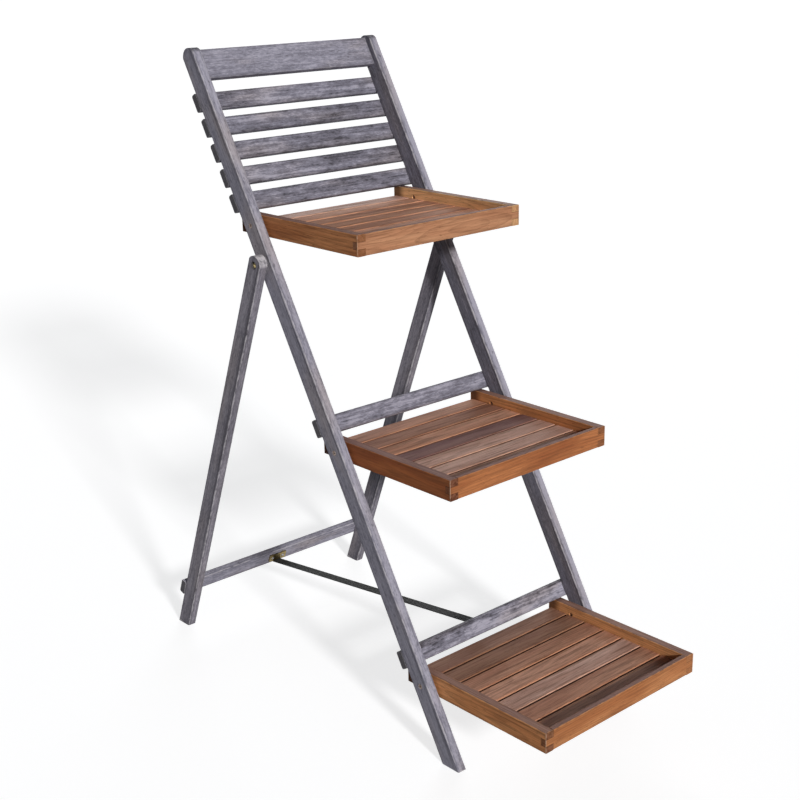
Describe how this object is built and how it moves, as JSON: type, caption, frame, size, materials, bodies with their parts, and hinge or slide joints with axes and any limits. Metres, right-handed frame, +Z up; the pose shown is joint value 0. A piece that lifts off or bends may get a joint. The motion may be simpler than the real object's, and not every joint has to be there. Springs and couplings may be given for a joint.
{
  "type": "folding plant ladder stand",
  "caption": "Folding plant stand: a leaning ladder frame with back slats carries tilting slatted trays, propped by a hinged rear leg frame and held open by a webbing stay strap.",
  "frame": {"origin": "on the floor, in the middle of the stand's footprint", "axes": "+Z up, +Y towards the back (from the trays to the rear legs), +X to the right seen from the front"},
  "size_m": [0.498, 1.0486, 1.2257],
  "materials": {
    "grey_wood": "grey-washed, weathered",
    "brown_wood": "oiled",
    "steel": "dull",
    "brass": "tarnished",
    "strap": "woven webbing"
  },
  "bodies": {
    "front_frame": {"left_stile": "grey_wood", "right_stile": "grey_wood", "top_rail": "grey_wood", "back_slat_1": "grey_wood", "back_slat_2": "grey_wood", "back_slat_3": "grey_wood", "back_slat_4": "grey_wood", "back_slat_5": "grey_wood", "middle_crossbar": "grey_wood", "lower_crossbar": "grey_wood", "frame_screws": "steel", "strap_front_plate": "brass", "strap_front_screws": "brass", "stay_strap": "strap"},
    "rear_frame": {"left_rear_leg": "grey_wood", "right_rear_leg": "grey_wood", "rear_crossbar": "grey_wood", "rear_crossbar_screws": "steel", "leg_pivot_bolts": "brass", "leg_pivot_washers": "steel", "leg_pivot_nuts": "brass", "strap_rear_plate": "brass", "strap_rear_screws": "brass"},
    "top_tray": {"top_tray_left_side": "brown_wood", "top_tray_right_side": "brown_wood", "top_tray_front": "brown_wood", "top_tray_slat_1": "brown_wood", "top_tray_slat_2": "brown_wood", "top_tray_slat_3": "brown_wood", "top_tray_slat_4": "brown_wood", "top_tray_slat_5": "brown_wood", "top_tray_slat_6": "brown_wood", "top_tray_slat_7": "brown_wood", "top_tray_battens": "brown_wood", "top_tray_bolts": "steel"},
    "middle_tray": {"middle_tray_left_side": "brown_wood", "middle_tray_right_side": "brown_wood", "middle_tray_front": "brown_wood", "middle_tray_slat_1": "brown_wood", "middle_tray_slat_2": "brown_wood", "middle_tray_slat_3": "brown_wood", "middle_tray_slat_4": "brown_wood", "middle_tray_slat_5": "brown_wood", "middle_tray_slat_6": "brown_wood", "middle_tray_slat_7": "brown_wood", "middle_tray_battens": "brown_wood", "middle_tray_bolts": "steel"},
    "bottom_tray": {"bottom_tray_left_side": "brown_wood", "bottom_tray_right_side": "brown_wood", "bottom_tray_front": "brown_wood", "bottom_tray_slat_1": "brown_wood", "bottom_tray_slat_2": "brown_wood", "bottom_tray_slat_3": "brown_wood", "bottom_tray_slat_4": "brown_wood", "bottom_tray_slat_5": "brown_wood", "bottom_tray_slat_6": "brown_wood", "bottom_tray_slat_7": "brown_wood", "bottom_tray_battens": "brown_wood", "bottom_tray_bolts": "steel"}
  },
  "joints": [
    {"name": "leg_fold", "type": "hinge", "parent": "front_frame", "child": "rear_frame", "pos_m": [0, 0.1685, 0.84966], "axis": [-1, 0, 0], "range_deg": [0, 50], "deforming": ["stay_strap"]},
    {"name": "top_tray_fold", "type": "hinge", "parent": "front_frame", "child": "top_tray", "pos_m": [0, 0.20566, 0.91481], "axis": [-1, 0, 0], "range_deg": [0, 119]},
    {"name": "middle_tray_fold", "type": "hinge", "parent": "front_frame", "child": "middle_tray", "pos_m": [0, -0.01631, 0.52566], "axis": [-1, 0, 0], "range_deg": [0, 119]},
    {"name": "bottom_tray_fold", "type": "hinge", "parent": "front_frame", "child": "bottom_tray", "pos_m": [0, -0.23926, 0.13478], "axis": [-1, 0, 0], "range_deg": [0, 119]}
  ],
  "couplings": [
    {"joint": "bottom_tray_fold", "follows": "leg_fold", "ratio": 2.38}
  ]
}
